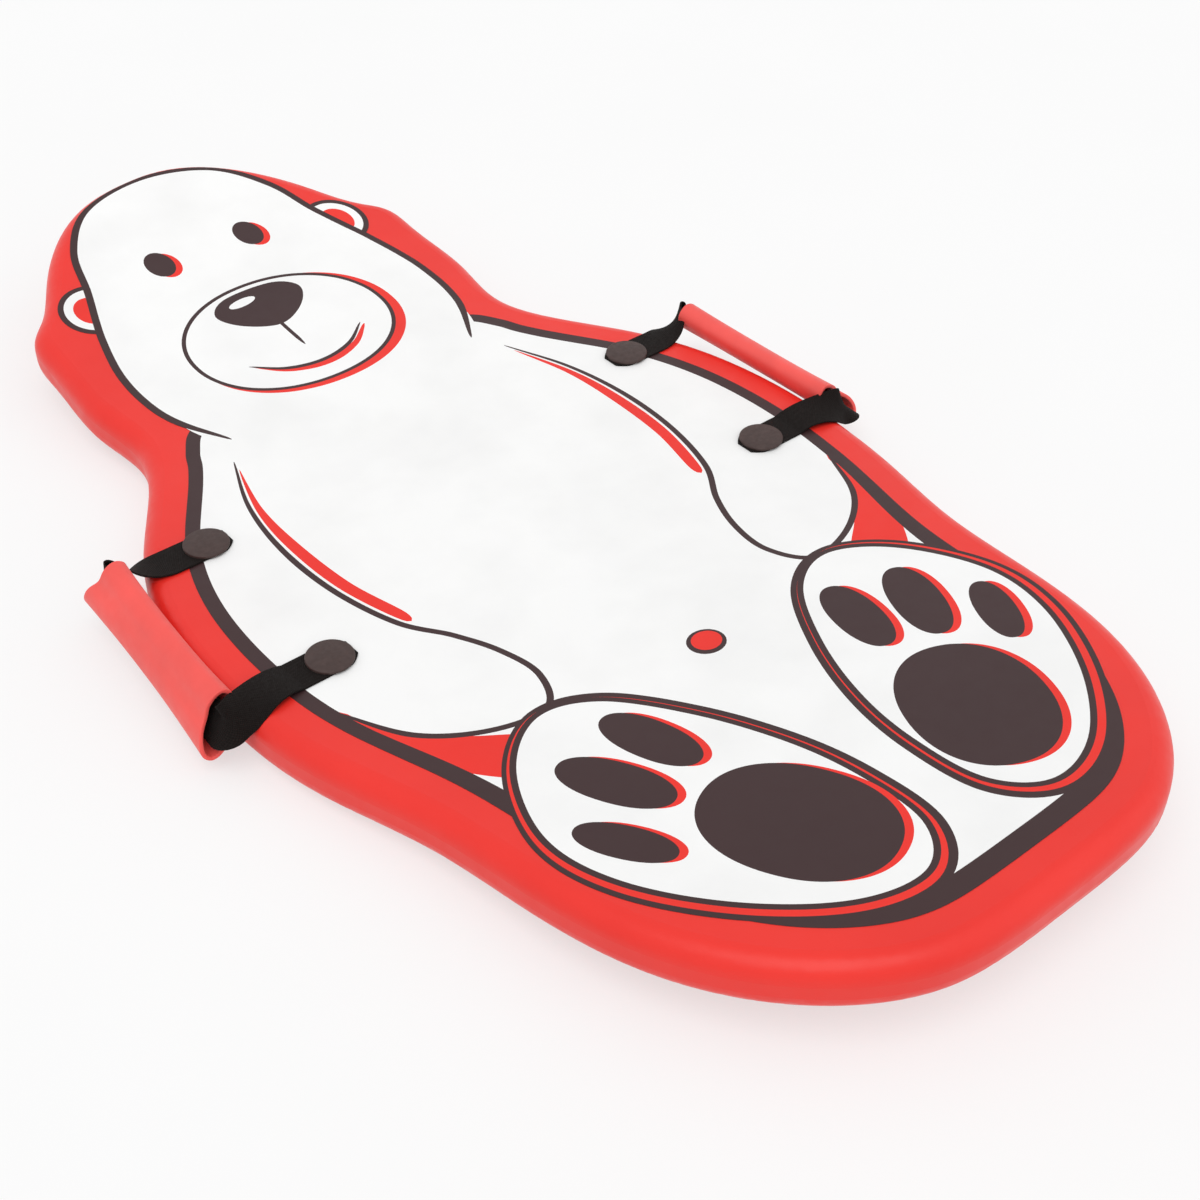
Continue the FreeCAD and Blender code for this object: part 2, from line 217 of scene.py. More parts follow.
def disc_material():
    """Fine matt moulded nylon."""
    s = Shader("disc_plastic", DISC_GREY, 0.5, Specular_IOR_Level=0.3)
    mottle = s.spread(s.noise(160.0, 4.0), 0.4, 0.7, 0.0, 1.0)
    s.colour(s.mix(mottle, DISC_GREY, shade(DISC_GREY, 1.25)))
    s.roughness(s.spread(s.noise(300.0, 3.0), 0.3, 0.7, 0.44, 0.6))
    s.bump(s.noise(2600.0, 2.0), 0.3, 0.0002)
    return s.material


def slick_material():
    """Smooth polyethylene sheet with long faint slide marks."""
    s = Shader("slick_plastic", RED_DEEP, 0.3, Specular_IOR_Level=0.5, Coat_Weight=0.15, Coat_Roughness=0.2)
    s.colour(s.mix(s.spread(s.noise(6.0, 4.0), 0.35, 0.7, 0.0, 1.0), RED_DEEP, RED))
    marks = s.noise(600.0, 3.0, stretch=(1.0, 0.02, 1.0))
    s.roughness(s.spread(marks, 0.35, 0.7, 0.24, 0.42))
    s.bump(marks, 0.1, 0.0002)
    return s.material


def steel_material():
    """Stainless steel with fine turning marks."""
    s = Shader("screw_steel", STEEL, 0.32, Metallic=1.0)
    s.colour(s.mix(s.spread(s.noise(300.0, 3.0), 0.3, 0.7, 0.0, 1.0), STEEL, shade(STEEL, 0.8)))
    s.roughness(s.spread(s.noise(900.0, 3.0), 0.3, 0.7, 0.25, 0.42))
    s.bump(s.noise(1500.0, 2.0), 0.1, 0.0001)
    return s.material


def foam_material():
    """Cut closed-cell foam."""
    s = Shader("core_foam", FOAM_WHITE, 0.85)
    cells = s.add("ShaderNodeTexVoronoi")
    cells.inputs["Scale"].default_value = 500.0
    s.link(s.place, cells.inputs["Vector"])
    walls = s.spread(cells.outputs["Distance"], 0.0, 0.8, 0.0, 1.0)
    s.colour(s.mix(walls, FOAM_WHITE, shade(FOAM_WHITE, 0.85)))
    s.bump(cells.outputs["Distance"], 0.5, 0.0006)
    return s.material


def give(obj, *materials):
    """Fill an object's material slots."""
    obj.data.materials.clear()
    for material in materials:
        obj.data.materials.append(material)


def mesh_object(name, vertices, faces):
    """A smooth-shaded mesh object, linked to the scene."""
    mesh = bpy.data.meshes.new(name)
    mesh.from_pydata([tuple(float(c) for c in v) for v in vertices], [], faces)
    mesh.update()
    mesh.polygons.foreach_set("use_smooth", [True] * len(mesh.polygons))
    obj = bpy.data.objects.new(name, mesh)
    bpy.context.scene.collection.objects.link(obj)
    return obj


# ------------------------------------------------------------------ the deck print, in millimetres
# Rays that find the deck start this high and count hits above the board's inside, in metres.
RAY_START = 1.0
DECK_LOWEST = 0.02
FACING_UP = 0.5
CURVE_STEPS = 16
BRUSH_TIP = 0.12
OVAL_STEP = 3.5
OVAL_LEAST = 24
INK_WHITE, INK_DARK, INK_RED = range(3)
PRINT_LIFT = 0.4
SHADOW = np.array([4.5, -4.0])
LINE = 5.0
OUTLINE_STEP = 3.0

# The dark band round the body: how far inside the film it runs, its width at the sides and
# at the tail and where it widens, and between which heights it follows the rail.
FILM_TO_BAND = 6.0
BAND_SIDE = 12.5
BAND_TAIL = 18.0
BAND_WIDENS_FROM = -180.0
BAND_WIDENS_OVER = 200.0
BAND_TOP = 222.0
TAIL_TOP = -540.0
BAND_EVERY = 7

# Extra lines in the print's mesh, across and along the board, that let it bend with the rocker.
LINES_ACROSS = np.concatenate([np.arange(-571.6, 560.0, 11.3), np.arange(563.3, 602.0, 3.1)])
LINES_ALONG = np.arange(-287.3, 290.0, 27.1)
LINES_TAIL, LINES_NOSE = -600.0, 610.0
SLOPE_STATIONS = np.arange(-570.0, 600.0, 10.0)
SLOPE_SPAN = 9


def film_outline():
    """Outline of the film's upper face, seen from above."""
    mesh = frame["nodes"]["deck_print_film"].data
    co = np.array([v.co for v in mesh.vertices]) / MM
    edges = {}
    for polygon in mesh.polygons:
        if polygon.normal.z < FACING_UP:
            continue
        corners = [tuple(np.round(co[i], 3)) for i in polygon.vertices]
        for start, end in zip(corners, corners[1:] + corners[:1]):
            edges[start, end] = True
    after = {start: end for start, end in edges if (end, start) not in edges}
    loops = []
    while after:
        start, point = after.popitem()
        loop = [start]
        while point in after:
            loop.append(point)
            point = after.pop(point)
        loops.append(np.array(loop))
    return max(loops, key=lambda loop: np.ptp(loop[:, 1]))[:, :2]


def surface_height(points):
    """Height of the print over points of the deck: on the film, or just above the skin past its edge."""
    depsgraph = bpy.context.evaluated_depsgraph_get()
    skin = BVHTree.FromObject(frame["nodes"]["deck_skin"], depsgraph)
    film = BVHTree.FromObject(frame["nodes"]["deck_print_film"], depsgraph)
    down = Vector((0.0, 0.0, -1.0))
    heights = []
    for x, y in points * MM:
        above = Vector((float(x), float(y), RAY_START))
        on_skin = skin.ray_cast(above, down)[0]
        on_film = film.ray_cast(above, down)[0]
        found = [on_skin.z / MM + PRINT_LIFT] if on_skin and on_skin.z > DECK_LOWEST else []
        if on_film:
            found.append(on_film.z / MM)
        heights.append(max(found) if found else np.nan)
    return np.array(heights)


def resample(points, step, closed):
    """The same line with its points evenly spaced."""
    line = np.vstack([points, points[:1]]) if closed else points
    run = np.concatenate([[0.0], np.cumsum(np.linalg.norm(np.diff(line, axis=0), axis=1))])
    count = max(int(round(run[-1] / step)), 3)
    places = np.linspace(0.0, run[-1], count + 1)
    if closed:
        places = places[:-1]
    return np.column_stack([np.interp(places, run, line[:, k]) for k in range(line.shape[1])])


def curve(points, closed=True, step=4.0):
    """A smooth line through a few points (Catmull-Rom), evenly spaced."""
    p = np.array(points, float)
    if closed:
        ring = np.vstack([p[-1:], p, p[:2]])
    else:
        ring = np.vstack([2 * p[:1] - p[1:2], p, 2 * p[-1:] - p[-2:-1]])
    t = np.linspace(0.0, 1.0, CURVE_STEPS, endpoint=False)[:, None]
    out = []
    for i in range(len(ring) - 3):
        a, b, c, d = ring[i:i + 4]
        bend = 2 * a - 5 * b + 4 * c - d
        twist = 3 * b - a - 3 * c + d
        out.append(0.5 * (2 * b + (c - a) * t + bend * t ** 2 + twist * t ** 3))
    line = np.vstack(out) if closed else np.vstack(out + [p[-1:]])
    return resample(line, step, closed)


def normals(line, closed):
    """Unit normals on the right-hand side of a line."""
    if closed:
        ahead = np.roll(line, -1, axis=0) - np.roll(line, 1, axis=0)
    else:
        ahead = np.gradient(line, axis=0)
    ahead /= np.linalg.norm(ahead, axis=1)[:, None]
    return np.column_stack([ahead[:, 1], -ahead[:, 0]])


def area(line):
    """Area inside a closed line, below zero where it runs clockwise."""
    x, y = line[:, 0], line[:, 1]
    return 0.5 * float(np.sum(x * np.roll(y, -1) - y * np.roll(x, -1)))


def grown(line, by):
    """A closed outline moved outwards; by may differ from point to point."""
    by = np.broadcast_to(by, len(line))
    if area(line) < 0:
        line, by = line[::-1], by[::-1]
    return line + normals(line, True) * by[:, None]


def stroke(points, width, start=0.15, end=0.15):
    """A brush line: full width in the middle and tapered over the given shares of its length."""
    line = curve(points, closed=False)
    place = np.linspace(0.0, 1.0, len(line))
    taper = np.clip(np.minimum(place / start, (1.0 - place) / end), 0.0, 1.0)
    half = 0.5 * width * (BRUSH_TIP + (1.0 - BRUSH_TIP) * np.sqrt(taper))
    side = normals(line, False) * half[:, None]
    return np.vstack([line + side, (line - side)[::-1]])


def oval(centre, half_width, half_height, tilt=0.0, power=2.0):
    """A tilted oval, squarer than an ellipse where power is over 2."""
    count = max(int(math.pi * (half_width + half_height) / OVAL_STEP), OVAL_LEAST)
    t = np.linspace(0.0, 2.0 * math.pi, count, endpoint=False)
    c, s = np.cos(t), np.sin(t)
    x = half_width * np.sign(c) * np.abs(c) ** (2.0 / power)
    y = half_height * np.sign(s) * np.abs(s) ** (2.0 / power)
    angle = math.radians(tilt)
    turned_x = x * math.cos(angle) - y * math.sin(angle)
    turned_y = x * math.sin(angle) + y * math.cos(angle)
    return np.column_stack([turned_x, turned_y]) + np.array(centre)


def mirrored(line):
    """The same line on the board's other side."""
    return line * np.array([-1.0, 1.0])


def bear(outline):
    """The deck's artwork: a plain bear with its paws on its belly, as layers of one ink each."""
    art = []

    def both(ink, line):
        art.append((ink, line))
        art.append((ink, mirrored(line)))

    # The body follows the rail from the shoulder to the tail, where its points run inwards.
    edge = grown(resample(outline, OUTLINE_STEP, True), -FILM_TO_BAND)
    side = edge[(edge[:, 0] > 0) & (edge[:, 1] < BAND_TOP)]
    side = side[np.argsort(-side[:, 1])]
    tail = side[side[:, 1] < TAIL_TOP]
    side = np.vstack([side[side[:, 1] >= TAIL_TOP], tail[np.argsort(-tail[:, 0])]])
    shoulder = [(60.0, 250.0), (118.0, 252.0), (154.0, 245.0)]
    half = curve(shoulder + list(side[::BAND_EVERY]) + [(0.0, side[-1, 1])], closed=False)
    body = resample(np.vstack([half, mirrored(half)[::-1]]), OUTLINE_STEP, True)
    widening = np.clip((BAND_WIDENS_FROM - body[:, 1]) / BAND_WIDENS_OVER, 0.0, 1.0)
    inner = grown(body, -(BAND_SIDE + (BAND_TAIL - BAND_SIDE) * widening))
    art.append((INK_WHITE, body))

    # Red behind the haunches, between the paws and the feet.
    both(INK_RED, curve([(264.0, -128.0), (248.0, -200.0), (228.0, -250.0), (192.0, -290.0), (166.0, -258.0),
                         (205.0, -220.0), (240.0, -165.0)]))

    # Arms: one brush line from shoulder to paw, with a red shadow on the belly's side.
    both(INK_RED, curve([(150.0, 170.0), (170.0, 110.0), (177.0, 50.0), (174.0, -20.0), (158.0, -84.0),
                         (150.0, -80.0), (163.0, -20.0), (167.0, 50.0), (164.0, 110.0)]))
    both(INK_WHITE, curve([(180.0, 150.0), (188.0, 60.0), (180.0, -40.0), (150.0, -110.0),
                           (124.0, -160.0), (118.0, -205.0), (140.0, -238.0), (186.0, -230.0),
                           (226.0, -198.0), (252.0, -140.0), (248.0, -60.0), (226.0, 60.0)]))
    art.append((INK_DARK, [body, inner]))
    both(INK_DARK, stroke([(148.0, 182.0), (172.0, 118.0), (182.0, 50.0), (179.0, -20.0),
                           (163.0, -84.0), (138.0, -125.0), (122.0, -165.0), (118.0, -206.0),
                           (138.0, -240.0), (184.0, -232.0), (228.0, -198.0), (256.0, -140.0)],
                          LINE + 0.5, 0.25, 0.1))

    # Feet, soles towards the viewer, each with a round pad and three toes.
    sole = curve([(150.0, -244.0), (196.0, -278.0), (224.0, -345.0), (214.0, -410.0), (172.0, -478.0),
                  (116.0, -528.0), (64.0, -540.0), (32.0, -508.0), (28.0, -448.0), (38.0, -388.0),
                  (64.0, -322.0), (104.0, -262.0)])
    both(INK_DARK, grown(sole, LINE + 8.0) + np.array([0.0, -4.0]))
    both(INK_RED, grown(sole, 8.0) + np.array([1.0, -3.0]))
    both(INK_DARK, grown(sole, LINE))
    both(INK_WHITE, sole)
    pads = [((90.0, -450.0), 55.0, 71.0, -24.0), ((106.0, -318.0), 20.0, 43.0, -14.0),
            ((154.0, -336.0), 21.0, 46.0, -24.0), ((188.0, -386.0), 16.0, 38.0, -28.0)]
    for sign in (1.0, -1.0):
        for centre, across, tall, tilt in pads:
            place = (centre[0] * sign, centre[1])
            art.append((INK_RED, oval(np.array(place) + SHADOW, across, tall, tilt * sign, 2.15)))
            art.append((INK_DARK, oval(place, across, tall, tilt * sign, 2.15)))

    # Belly dot.
    art.append((INK_DARK, oval((0.0, -262.0), 16.0, 15.0)))
    art.append((INK_RED, oval((1.0, -261.0), 12.5, 11.5)))

    # Ears, then the head over them, then its brush line.
    both(INK_DARK, oval((136.0, 447.0), 33.0, 36.0))
    both(INK_WHITE, oval((136.0, 447.0), 27.5, 30.5))
    both(INK_RED, oval((139.0, 447.0), 16.0, 20.0))
    crown = [(0.0, 594.0)]
    right = [(70.0, 577.0), (111.0, 530.0), (129.0, 472.0), (152.0, 404.0), (165.0, 338.0), (160.0, 272.0)]
    left = [(-x, y) for x, y in right]
    chin = [(128.0, 206.0), (0.0, 180.0), (-128.0, 206.0)]
    art.append((INK_WHITE, curve(crown + right + chin + left[::-1])))
    head_line = [(132.0, 212.0)] + right[::-1] + crown + left + [(-132.0, 212.0)]
    art.append((INK_DARK, stroke(head_line, LINE + 2.0, 0.06, 0.06)))

    # A plain face: round eyes, an oval muzzle, a rounded nose and a small smile.
    for x in (-50.0, 50.0):
        art.append((INK_RED, oval((x + 5.0, 470.0), 14.0, 19.0)))
        art.append((INK_DARK, oval((x, 474.0), 14.0, 19.0)))
    muzzle = (0.0, 322.0)
    art.append((INK_RED, oval((5.0, 317.0), 107.0, 88.0, 0.0, 2.1)))
    art.append((INK_DARK, oval(muzzle, 104.0, 86.0, 0.0, 2.1)))
    art.append((INK_WHITE, oval(muzzle, 100.0, 82.0, 0.0, 2.1)))
    art.append((INK_DARK, curve([(0.0, 336.0), (-32.0, 352.0), (-47.0, 378.0), (-26.0, 397.0),
                                 (26.0, 397.0), (47.0, 378.0), (32.0, 352.0)])))
    art.append((INK_WHITE, oval((-14.0, 384.0), 15.0, 5.5, 6.0)))
    art.append((INK_DARK, stroke([(0.0, 340.0), (0.0, 318.0), (0.0, 296.0)], 4.0, 0.05, 0.3)))
    shadow = [(-58.0, 292.0), (-32.0, 270.0), (3.0, 261.0), (38.0, 270.0), (64.0, 292.0)]
    smile = [(-62.0, 296.0), (-34.0, 274.0), (0.0, 266.0), (34.0, 274.0), (62.0, 296.0)]
    art.append((INK_RED, stroke(shadow, 8.0, 0.4, 0.4)))
    art.append((INK_DARK, stroke(smile, 4.5, 0.3, 0.3)))
    return art


def loops_of(shape):
    """The outlines of a shape, which may be a ring of two."""
    return shape if isinstance(shape, list) else [shape]


def inside(points, shape):
    """Which of the points a shape holds."""
    hit = np.zeros(len(points), bool)
    x, y = points[:, 0], points[:, 1]
    starts = np.vstack(loops_of(shape))
    stops = np.vstack([np.roll(loop, -1, axis=0) for loop in loops_of(shape)])
    for (x1, y1), (x2, y2) in zip(starts, stops):
        if y1 != y2:
            hit ^= ((y1 > y) != (y2 > y)) & (x < (x2 - x1) * (y - y1) / (y2 - y1) + x1)
    return hit


def inked_triangles(art, wide):
    """Plan points and triangles that follow the artwork's borders, with the ink of each triangle."""
    points, edges = [], []
    for _, shape in art:
        for line in loops_of(shape):
            first = len(points)
            points.extend(line)
            edges.extend((first + i, first + (i + 1) % len(line)) for i in range(len(line)))
    across = [((-wide, y), (wide, y)) for y in LINES_ACROSS]
    along = [((x, LINES_TAIL), (x, LINES_NOSE)) for x in LINES_ALONG]
    for ends in across + along:
        edges.append((len(points), len(points) + 1))
        points.extend(ends)
    made = delaunay_2d_cdt([Vector((float(x), float(y))) for x, y in points], edges, [], 0, 1e-4)
    flat = np.array([tuple(v) for v in made[0]])
    faces = np.array([tuple(f) for f in made[2]])
    middle = flat[faces].mean(axis=1)
    ink = np.full(len(faces), -1)
    for colour, shape in art:
        ink[inside(middle, shape)] = colour
    faces, ink = faces[ink >= 0], ink[ink >= 0]
    used, faces = np.unique(faces, return_inverse=True)
    return flat[used], faces.reshape(-1, 3), ink


def rocker_normals(flat, top_z):
    """Upward normals that follow the rocker only, so that the film shades as one smooth sheet."""
    order = np.argsort(flat[:, 1])
    even = np.convolve(top_z[order], np.ones(SLOPE_SPAN) / SLOPE_SPAN, mode="same")
    slope = np.gradient(np.interp(SLOPE_STATIONS, flat[order, 1], even), SLOPE_STATIONS)
    slope[:2], slope[-3:] = slope[2], slope[-4]
    tilt = np.interp(flat[:, 1], SLOPE_STATIONS, slope)
    up = np.column_stack([np.zeros(len(flat)), -tilt, np.ones(len(flat))])
    return up / np.linalg.norm(up, axis=1)[:, None]


def make_print():
    """One thin film whose faces follow the artwork's edges, bent to the board's rocker."""
    outline = film_outline()
    flat, faces, ink = inked_triangles(bear(outline), float(np.abs(outline[:, 0]).max()))
    top_z = surface_height(flat)
    known = ~np.isnan(top_z)
    order = np.argsort(flat[known, 1])
    top_z[~known] = np.interp(flat[~known, 1], flat[known, 1][order], top_z[known][order])
    top = np.column_stack([flat, top_z]) * MM

    # A skirt hangs from the print's rim down to the skin.
    sides = {(int(face[i]), int(face[(i + 1) % 3])) for face in faces for i in range(3)}
    rim = sorted(pair for pair in sides if pair[::-1] not in sides)
    low = {}
    vertices = list(top)
    for i in [i for pair in rim for i in pair]:
        if i not in low:
            low[i] = len(vertices)
            vertices.append(top[i] - np.array([0.0, 0.0, PRINT_LIFT * MM]))
    skirt = [(start, low[start], low[end], end) for start, end in rim]

    obj = mesh_object("deck_print", vertices, [tuple(int(i) for i in f) for f in faces] + skirt)
    give(obj, print_material("print_white", PRINT_WHITE), print_material("print_dark", PRINT_DARK),
         print_material("print_red", RED))
    obj.data.polygons.foreach_set("material_index", [int(i) for i in ink] + [INK_DARK] * len(skirt))

    # A zero normal leaves a skirt point with its own.
    own = np.zeros((len(vertices) - len(flat), 3))
    every = np.vstack([rocker_normals(flat, top_z), own])
    obj.data.normals_split_custom_set_from_vertices([tuple(float(c) for c in n) for n in every])
    return obj


# ------------------------------------------------------------------ the handles, in millimetres
DISC = {end: sum(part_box("right_" + end + "_top_disc"), Vector()) / 2.0 / MM for end in ENDS}
TAB_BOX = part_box("right_front_strap_tab")
STRAP_WIDTH = (TAB_BOX[1].y - TAB_BOX[0].y) / MM
STRAP_IN_X = TAB_BOX[0].x / MM
STRAP_MIDDLE = (TAB_BOX[0].z + TAB_BOX[1].z) / 2.0 / MM
HINGE_X = next(abs(j["pos_m"][0]) for j in frame["joints"] if j["name"] == "right_handle_swing") / MM
STRAP_FLAT_RUN = 10.0
STRAP_FLAT_STEPS = 21
STRAP_TURN_STEPS = 30
STRAP_SPAN_STEPS = 25
STRAP_HALF_THICK = 0.9
STRAP_EDGE = 0.5
STRAP_ACROSS = 9

# The cut ends are rounded: over this length the strap narrows by this share of its width.
STRAP_TRIM = 12.0
STRAP_TRIM_SHARE = 0.5
STRAP_TRIM_POWER = 1.6

# The sleeves' ends: how far outboard of the discs, forward of them and above the strap's flat
# run they lie, and their half width and half depth.
GRIP_ENDS = {
    "rear": {"outboard": 99.0, "forward": 7.0, "above": -8.4, "half": (26.0, 13.0)},
    "front": {"outboard": 87.5, "forward": 3.0, "above": 0.6, "half": (24.0, 13.0)},
}
GRIP_STOP = 8.0

# How the photographed handles differ: slant of the sleeve's oval, and how far it lies from its CAD place.
GRIP_DROOP = {"left": math.radians(58.0), "right": math.radians(47.0)}
GRIP_SHIFT = {"left": np.zeros(3), "right": np.array([-1.0, 0.0, 3.0])}

# How the webbing turns into a sleeve: how far it keeps its way out and its way in, how high
# each stretch bows, and how late it rolls (1 is even).
STRAP_TURNS = {
    "rear": {"out": 34.0, "out_bow": 12.0, "in": 24.0, "in_bow": 9.0, "late": 1.2},
    "front": {"out": 26.0, "out_bow": 0.0, "in": 15.0, "in_bow": 3.0, "late": 1.0},
}


def unit(v):
    return v / np.linalg.norm(v)


def grip_end(end):
    """Middle of a right-hand sleeve's end."""
    place = GRIP_ENDS[end]
    return np.array([DISC[end].x + place["outboard"], DISC[end].y + place["forward"],
                     STRAP_MIDDLE + place["above"]])


GRIP_REAR, GRIP_FRONT = grip_end("rear"), grip_end("front")
GRIP_ALONG = unit(GRIP_FRONT - GRIP_REAR)


def grip_flat(side):
    """Long direction of a grip's oval: up and inboard, square to the grip."""
    flat = np.array([-math.cos(GRIP_DROOP[side]), 0.0, math.sin(GRIP_DROOP[side])])
    return unit(flat - GRIP_ALONG * flat.dot(GRIP_ALONG))


def strap_half(side, end):
    """One half of a strap, from its cut end into the sleeve, as if it were the right-hand one.

    Each section is its middle point, the direction across the webbing and the way it runs.
    """
    sign = ENDS[end]
    turn = STRAP_TURNS[end]
    y = DISC[end].y
    into = GRIP_ALONG * -sign
    sideways = np.array([0.0, -sign, 0.0])
    flat = grip_flat(side)
    out = []
    for x in np.linspace(STRAP_IN_X, HINGE_X + STRAP_FLAT_RUN, STRAP_FLAT_STEPS, endpoint=False):
        out.append((np.array([x, y, STRAP_MIDDLE]), sideways, np.array([1.0, 0.0, 0.0])))
    start = np.array([HINGE_X + STRAP_FLAT_RUN, y, STRAP_MIDDLE])
    stop = grip_end(end) + GRIP_SHIFT[side] - into * GRIP_STOP
    a = start + np.array([turn["out"], 0.0, turn["out_bow"]])
    b = stop - into * turn["in"] + np.array([0.0, 0.0, turn["in_bow"]])
    for t in np.linspace(0.0, 1.0, STRAP_TURN_STEPS + 1):
        u = 1.0 - t
        middle = start * u ** 3 + a * (3 * u * u * t) + b * (3 * u * t * t) + stop * t ** 3
        heading = unit((a - start) * (u * u) + (b - a) * (2 * u * t) + (stop - b) * (t * t))
        roll = t ** turn["late"]
        roll = roll * roll * (3.0 - 2.0 * roll)
        across = sideways * (1.0 - roll) + flat * roll
        across = unit(across - heading * across.dot(heading))
        out.append((middle, across, heading))
    return out


def make_strap(side):
    """One handle's webbing from cut end to cut end, with its length and width kept as UV."""
    rear = strap_half(side, "rear")
    front = [(m, a, -h) for m, a, h in strap_half(side, "front")][::-1]
    ahead = front[0][0] - rear[-1][0]
    span = [rear[-1][0] + ahead * t for t in np.linspace(0.0, 1.0, STRAP_SPAN_STEPS + 1)[1:-1]]
    run = rear + [(m, grip_flat(side), GRIP_ALONG) for m in span] + front

    # The section: two thin edges, with a face above and a face below them.
    half = STRAP_WIDTH / 2.0
    face_places = np.linspace(-half + STRAP_EDGE, half - STRAP_EDGE, STRAP_ACROSS)
    ring = [(-half, 0.0)] + [(w, STRAP_HALF_THICK) for w in face_places]
    ring += [(half, 0.0)] + [(w, -STRAP_HALF_THICK) for w in face_places[::-1]]

    vertices, uv = [], []
    length = 0.0
    for k, (middle, across, heading) in enumerate(run):
        if k:
            length += float(np.linalg.norm(middle - run[k - 1][0]))
        normal = np.cross(heading, across)
        past_end = max(0.0, 1.0 - (middle[0] - STRAP_IN_X) / STRAP_TRIM)
        trim = 1.0 - STRAP_TRIM_SHARE * past_end ** STRAP_TRIM_POWER
        for w, t in ring:
            w = w * trim
            point = middle + across * w + normal * t
            vertices.append(point * np.array([SIDES[side], 1.0, 1.0]) * MM)
            uv.append((w * MM, length * MM))
    n = len(ring)
    faces = []
    for k in range(len(run) - 1):
        for i in range(n):
            j = (i + 1) % n
            faces.append((k * n + i, k * n + j, (k + 1) * n + j, (k + 1) * n + i))
    faces.append(tuple(range(n))[::-1])
    last = (len(run) - 1) * n
    faces.append(tuple(last + i for i in range(n)))
    if side == "left":
        faces = [face[::-1] for face in faces]
    obj = mesh_object(side + "_strap", vertices, faces)
    layer = obj.data.uv_layers.new(name="UVMap")
    for loop in obj.data.loops:
        layer.data[loop.index].uv = uv[loop.vertex_index]
    obj.data.set_sharp_from_angle(angle=math.radians(40.0))
    return obj


SLEEVE_RINGS = 46
SLEEVE_ROUND = 72
SLEEVE_WALL = 3.4
SLEEVE_LIP = 1.2

# The mouth of a sleeve: how far it stands past the sleeve's end, and from which share of the
# way out to the end it starts to.
SLEEVE_MOUTH = 15.0
SLEEVE_MOUTH_FROM = 0.55

# Lengthways creases in the sleeve's upper and lower faces: place, half width and depth.
CREASE_DEPTH = 2.6
CREASE_UPPER = (3.0, 7.0, 1.0)
CREASE_LOWER = (-4.0, 8.0, 0.7)


def sleeve_section(share):
    """Outer outline of a sleeve at a share of its length, in its own flat and thick directions."""
    flare = abs(2.0 * share - 1.0) ** 2.2
    rear, front = GRIP_ENDS["rear"]["half"], GRIP_ENDS["front"]["half"]
    width = (rear[0] * (1.0 - share) + front[0] * share) * (0.88 + 0.17 * flare)
    depth = (rear[1] * (1.0 - share) + front[1] * share) * (0.90 + 0.10 * flare)
    t = np.linspace(0.0, 2.0 * math.pi, SLEEVE_ROUND, endpoint=False)
    a = width * np.cos(t)
    b = depth * np.sign(np.sin(t)) * np.abs(np.sin(t)) ** 0.85
    for (place, spread, strength), upper in ((CREASE_UPPER, 1.0), (CREASE_LOWER, -1.0)):
        crease = strength * CREASE_DEPTH * (0.35 + 0.65 * flare)
        b = b - upper * np.where(b * upper > 0, crease * np.exp(-((a - place) / spread) ** 2), 0.0)
    a = a + 0.6 * np.sin(3.0 * t + 5.0 * share)
    return np.column_stack([a, b])


def lip_reach(line, share):
    """How far the mouth stands past the sleeve's end: most at the lower, outer edge."""
    angle = np.arctan2(line[:, 1], line[:, 0])
    reach = SLEEVE_MOUTH * (0.5 - 0.5 * np.cos(angle - 0.35)) ** 1.4
    near = np.clip((abs(2.0 * share - 1.0) - SLEEVE_MOUTH_FROM) / (1.0 - SLEEVE_MOUTH_FROM), 0.0, 1.0) ** 2
    return reach * near * (1.0 if share > 0.5 else -1.0)


def make_sleeve(side):
    """A soft foam tube squeezed flat round the webbing, creased lengthways, with rounded lips."""
    flat = grip_flat(side)
    thick = np.cross(GRIP_ALONG, flat)
    shares = 0.5 - 0.5 * np.cos(np.linspace(0.0, math.pi, SLEEVE_RINGS))
    outer = [sleeve_section(share) for share in shares]
    vertices = []

    def ring(k, inset):
        share = shares[k]
        line = outer[k] - normals(outer[k], True) * inset
        centre = GRIP_REAR + (GRIP_FRONT - GRIP_REAR) * share + GRIP_SHIFT[side]
        reach = lip_reach(outer[k], share)
        start = len(vertices)
        for (a, b), w in zip(line, reach):
            point = centre + flat * a + thick * b + GRIP_ALONG * w
            vertices.append(point * np.array([SIDES[side], 1.0, 1.0]) * MM)
        return start

    last = SLEEVE_RINGS - 1
    starts = [ring(k, SLEEVE_LIP if k in (0, last) else 0.0) for k in range(SLEEVE_RINGS)]
    starts += [ring(k, SLEEVE_WALL - (SLEEVE_LIP if k in (0, last) else 0.0)) for k in range(last, -1, -1)]
    faces = []
    n = SLEEVE_ROUND
    for first, second in zip(starts, starts[1:] + starts[:1]):
        for i in range(n):
            j = (i + 1) % n
            face = (first + i, first + j, second + j, second + i)
            faces.append(face if side == "right" else face[::-1])
    obj = mesh_object(side + "_sleeve", vertices, faces)
    obj.modifiers.new("round", "SUBSURF").render_levels = 1
    return obj


# ------------------------------------------------------------------ build
red_skin = skin_material("red_skin", RED, RED_DEEP, 0.36)
disc_plastic = disc_material()
steel = steel_material()
webbing = webbing_material()
sleeve_foam = sleeve_material()
CAD_MATERIALS = {
    "deck_skin": red_skin,
    "slick_skin": slick_material(),
    "foam_core": foam_material(),
}
for node_name, node in frame["nodes"].items():
    if node_name in CAD_MATERIALS:
        give(node, CAD_MATERIALS[node_name])
    elif node_name.endswith("_disc"):
        give(node, disc_plastic)
    elif node_name.endswith("_anchor_screw"):
        give(node, steel)

deck_print = make_print()
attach(deck_print, "root")
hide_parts("deck_print_film")

